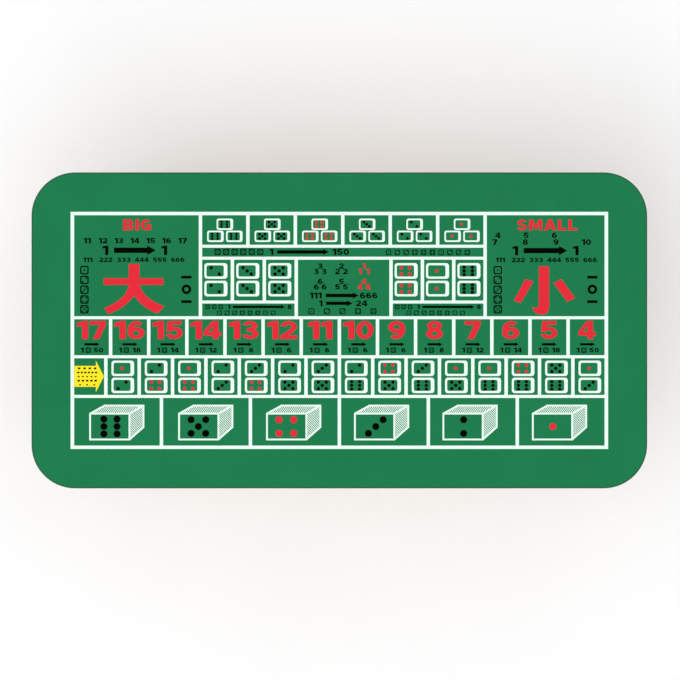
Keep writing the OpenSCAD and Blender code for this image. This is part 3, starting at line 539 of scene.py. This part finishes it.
def foot(bm, side, face):
    """Ribbed rubber ferrule round the leg's end, cut level with the floor."""
    sole = Vector(MOUNTS[f"{side}_{face}_sole"]["pos_m"])
    pivot = Vector(JOINTS[f"{side}_fold"]["pos_m"])
    pivot.y = sole.y
    at = frame_at(sole, pivot - sole, (0, 1, 0))
    base_r = 19 * MM
    top_r = 16.6 * MM
    top = 34 * MM
    sunk = 3 * MM  # it starts this far below the floor, where the level cut trims it
    chamfer = 1.2 * MM
    lip = 1.1 * MM
    bore = LEG_R + 0.05 * MM
    floor_of_bore = 8 * MM
    groove_count = 5
    first_groove = 8 * MM
    groove_pitch = 3.6 * MM
    # Each groove's section: millimetres up from its start, and in from the wall.
    groove = ((0, 0), (0.5, 0.8), (1.3, 0.8), (1.8, 0.05))

    def wall(height):
        return base_r + (top_r - base_r) * (height + sunk) / (top + sunk)

    stations = [(base_r - chamfer, -sunk), (base_r, chamfer)]
    for i in range(groove_count):
        start = first_groove + groove_pitch * i
        stations += [(wall(start) - inwards * MM, start + up * MM) for up, inwards in groove]
    stations += [(wall(top) - lip + r, h) for r, h in arc_points(0, top - lip, lip, 0, 90, 4)]
    stations += [(bore, top), (bore, floor_of_bore)]
    rings = [[at @ Vector((0, 0, -sunk))]]
    rings += [ring(at, height, radius, ROUND_STEPS) for radius, height in stations]
    rings.append([at @ Vector((0, 0, floor_of_bore))])
    part = bmesh.new()
    skin(part, rings)
    cut = bmesh.ops.bisect_plane(
        part, geom=[*part.verts, *part.edges, *part.faces], plane_co=(0, 0, 0),
        plane_no=(0, 0, 1), clear_inner=True,
    )
    rim = [e for e in cut["geom_cut"] if isinstance(e, bmesh.types.BMEdge)]
    bmesh.ops.contextual_create(part, geom=rim)
    add_to(bm, part)


def add_to(bm, part):
    """Moves one bmesh's geometry into another."""
    scratch = bpy.data.meshes.new("scratch")
    part.to_mesh(scratch)
    part.free()
    bm.from_mesh(scratch)
    bpy.data.meshes.remove(scratch)


def feet():
    """The two feet of each leg frame, as one piece."""
    for side in SIDES:
        bm = bmesh.new()
        for face in FACES:
            foot(bm, side, face)
        finish_piece(f"{side}_ferrules", bm, "foot_rubber", f"{side}_legs", f"{side}_feet")


# ---------- star knobs ----------

KNOB_STEPS = 72


def star_radius(blend, size):
    """Radius by angle between a circle, blend 0, and a lobed star, blend 1; size in millimetres."""
    lobes = 6
    full_size = 17

    def radius(angle):
        star = 17.2 + 2.6 * math.cos(lobes * angle) - 0.35 * math.cos(2 * lobes * angle)
        return size * MM * ((1 - blend) * full_size + blend * star) / full_size

    return radius


def star_knob(side, face):
    """Moulded knob: a round boss behind, a star with soft lobes, and a dished cap in front."""
    x, _, z = JOINTS[f"{side}_{face}_clamp_turn"]["pos_m"]
    low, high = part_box(f"{side}_{face}_knob")
    outward = 1 if face == "rear" else -1
    inner = low.y if outward > 0 else high.y
    at = frame_at((x, inner, z), (0, outward, 0))
    bore, depth, dish = 6.05, 15.5, 19.45
    # How far round turns to star, size, and height from the boss's face, in millimetres.
    stations = [
        (0, bore, depth), (0, bore, 0.3), (0, bore + 0.3, 0), (0, 9.2, 0), (0, 10, 0.8), (0, 10, 4.2),
        (0.3, 11, 4.9), (0.9, 14.2, 5.1), (1, 16, 5.7), (1, 16.8, 6.8), (1, 17, 8.4), (1, 17, 14.6),
        (1, 16.7, 16.2), (1, 16, 17.4), (0.9, 14.8, 18.2), (0.55, 13, 18.6), (0.2, 11.6, 18.9),
        (0, 10.8, 19.5), (0, 10, 19.9), (0, 8.6, 20), (0, 7.8, 19.7), (0, 7, 19.5), (0, 3, dish),
    ]
    rings = [[at @ Vector((0, 0, depth * MM))]]
    rings += [
        ring(at, height * MM, star_radius(blend, size), KNOB_STEPS) for blend, size, height in stations
    ]
    rings.append([at @ Vector((0, 0, dish * MM))])
    bm = bmesh.new()
    skin(bm, rings)
    name = f"{side}_{face}_star_knob"
    finish_piece(name, bm, "black_plastic", f"{side}_{face}_clamp", f"{side}_{face}_knob")


# ---------- pivot bolts and nuts ----------

HEX_FLATS = 17 * MM
CHAMFER = math.tan(math.radians(30))
FACE_SHARE = 0.96  # of the flats' distance, for the circle that the chamfer leaves


def hex_radius(angle):
    """Radius of a hexagon by angle."""
    turned = (angle + TAU / 12) % (TAU / 6) - TAU / 12
    return HEX_FLATS / 2 / math.cos(turned)


def hex_end(at, height, outward):
    """Rings of a chamfered hexagon's end: the face's circle, then the cut corners."""
    flat_r = HEX_FLATS / 2 * FACE_SHARE
    cut = []
    for i in range(ROUND_STEPS):
        angle = TAU * i / ROUND_STEPS
        radius = hex_radius(angle)
        z = height - outward * (radius - flat_r) * CHAMFER
        cut.append(at @ Vector((radius * math.cos(angle), radius * math.sin(angle), z)))
    return [ring(at, height, flat_r, ROUND_STEPS), cut]


def pivot_fasteners():
    """Hex bolts with chamfered heads and rolled threads, and their nuts."""
    bolt_r = 5 * MM
    pitch = 1.5 * MM
    root_r = bolt_r - 0.55 * MM
    crest_r = bolt_r - 0.02 * MM
    tip_r = bolt_r - 0.9 * MM
    bore_r = bolt_r + 0.05 * MM
    nut_height = 8 * MM
    thread_before_nut = 4 * MM
    tip_past_nut = 3 * MM
    plain_tip = 1 * MM
    head_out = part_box("pivot_bolts")[1].y
    head_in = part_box("left_rear_bracket")[1].y
    nut_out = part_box("pivot_nuts")[1].y
    nut_in = nut_out - nut_height
    tip = nut_in - tip_past_nut
    bolts, nuts = bmesh.new(), bmesh.new()
    for side in SIDES:
        x, _, z = JOINTS[f"{side}_fold"]["pos_m"]
        for outward in (-1, 1):
            at = frame_at((x, 0, z), (0, outward, 0))
            top, cut = hex_end(at, head_out, 1)
            rings = [[at @ Vector((0, 0, head_out))], top, cut]
            rings.append(ring(at, head_in, hex_radius, ROUND_STEPS))
            rings.append(ring(at, head_in, bolt_r, ROUND_STEPS))
            thread = nut_out + thread_before_nut
            rings.append(ring(at, thread, bolt_r, ROUND_STEPS))
            while thread - pitch > tip + plain_tip:
                rings.append(ring(at, thread - pitch / 2, root_r, ROUND_STEPS))
                rings.append(ring(at, thread - pitch, crest_r, ROUND_STEPS))
                thread -= pitch
            rings += [ring(at, tip, tip_r, ROUND_STEPS), [at @ Vector((0, 0, tip))]]
            skin(bolts, rings)
            outer, outer_cut = hex_end(at, nut_out, 1)
            inner, inner_cut = hex_end(at, nut_in, -1)
            bore = [ring(at, z, bore_r, ROUND_STEPS) for z in (nut_in, nut_out)]
            skin(nuts, [outer, outer_cut, inner_cut, inner, *bore], loop=True)
    finish_piece("pivot_hex_bolts", bolts, "zinc_steel", "top", "pivot_bolts")
    finish_piece("pivot_hex_nuts", nuts, "zinc_steel", "top", "pivot_nuts")


# ---------- weld beads ----------


def weld_beads():
    """A rippled bead round each end of the cross tubes, where they meet the legs."""
    joint_steps = 72
    section_steps = 8
    bead_r = 1.7 * MM
    ripples, ripple_share = 24, 0.1
    for side in SIDES:
        pivot = Vector(JOINTS[f"{side}_fold"]["pos_m"])
        sole = Vector(MOUNTS[f"{side}_front_sole"]["pos_m"])
        down = Vector((sole.x - pivot.x, 0, sole.z - pivot.z)).normalized()
        across = Vector((-down.z, 0, down.x))
        bm = bmesh.new()
        for tube in (f"{side}_crossbar", f"{side}_stretcher"):
            low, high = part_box(tube)
            centre = (low + high) / 2
            for outward in (-1, 1):
                path = []
                for i in range(joint_steps):
                    angle = TAU * i / joint_steps
                    u, v = CROSS_R * math.cos(angle), CROSS_R * math.sin(angle)
                    y = outward * (LEG_Y - math.sqrt(LEG_R**2 - v**2))
                    path.append(Vector((centre.x, y, centre.z)) + down * u + across * v)
                middle = sum(path, Vector()) / joint_steps
                rings = []
                for i, point in enumerate(path):
                    ahead = (path[(i + 1) % joint_steps] - path[i - 1]).normalized()
                    out = (point - middle).normalized()
                    out = (out - ahead * out.dot(ahead)).normalized()
                    third = ahead.cross(out)
                    size = bead_r * (1 + ripple_share * math.sin(ripples * TAU * i / joint_steps))
                    rings.append([
                        point + size * (math.cos(a) * out + math.sin(a) * third)
                        for a in (TAU * k / section_steps for k in range(section_steps))
                    ])
                skin(bm, rings, loop=True)
        finish_piece(f"{side}_weld_beads", bm, "powder_coat", f"{side}_legs")


edge_moulding()
mat_pieces()
feet()
for knob_side in SIDES:
    for knob_face in FACES:
        star_knob(knob_side, knob_face)
pivot_fasteners()
weld_beads()

# ---------- floor, light and camera ----------


def floor():
    """A wide pale floor, a little uneven in tone."""
    half = 90  # metres
    mesh = bpy.data.meshes.new("floor")
    corners = [(-half, -half, 0), (half, -half, 0), (half, half, 0), (-half, half, 0)]
    mesh.from_pydata(corners, [], [(0, 1, 2, 3)])
    piece = bpy.data.objects.new("floor", mesh)
    bpy.context.scene.collection.objects.link(piece)
    look = Look("floor", specular=0.2)
    tone = look.span(look.noise(look.place(), 1.5, 3), 0.3, 0.7)
    look.set(
        color=look.mix(tone, (0.91, 0.92, 0.93, 1), (0.93, 0.94, 0.95, 1)),
        rough=look.span(tone, 0, 1, 0.75, 0.85),
    )
    mesh.materials.append(look.material)


def key_light():
    """One broad light from high up, aimed at the table."""
    place = Vector((-3, -4, 16))
    aim = Vector((0, 0, 0.5))
    light = bpy.data.lights.new("key", "AREA")
    light.size = 12
    light.energy = 900
    made = bpy.data.objects.new("key", light)
    made.location = place
    made.rotation_mode = "QUATERNION"
    made.rotation_quaternion = (aim - place).to_track_quat("-Z", "Y")
    bpy.context.scene.collection.objects.link(made)


def sky():
    """A pale sky, brighter near the horizon than overhead."""
    scene = bpy.context.scene
    scene.view_settings.view_transform = "Standard"
    world = bpy.data.worlds.new("studio")
    world.use_nodes = True
    nodes, links = world.node_tree.nodes, world.node_tree.links
    ramp = nodes.new("ShaderNodeValToRGB")
    ramp.color_ramp.elements[0].color = (0.97, 0.97, 0.97, 1)
    ramp.color_ramp.elements[1].color = (0.8, 0.8, 0.8, 1)
    split = nodes.new("ShaderNodeSeparateXYZ")
    place = nodes.new("ShaderNodeTexCoord")
    links.new(place.outputs["Generated"], split.inputs[0])
    links.new(split.outputs["Z"], ramp.inputs[0])
    links.new(ramp.outputs[0], nodes["Background"].inputs["Color"])
    scene.world = world


def camera():
    """Straight above the table through a long lens, as the photograph was taken."""
    lens, sensor = 200, 36
    view_width = 1987.4 * MM  # at the height of the table's top
    centre_x, centre_y = 1.9 * MM, -28.1 * MM
    data = bpy.data.cameras.new("camera")
    data.lens = lens
    data.sensor_width = sensor
    data.clip_end = 500
    made = bpy.data.objects.new("camera", data)
    made.location = (centre_x, centre_y, cad_box[1].z + view_width * lens / sensor)
    bpy.context.scene.collection.objects.link(made)
    bpy.context.scene.camera = made


floor()
sky()
key_light()
camera()
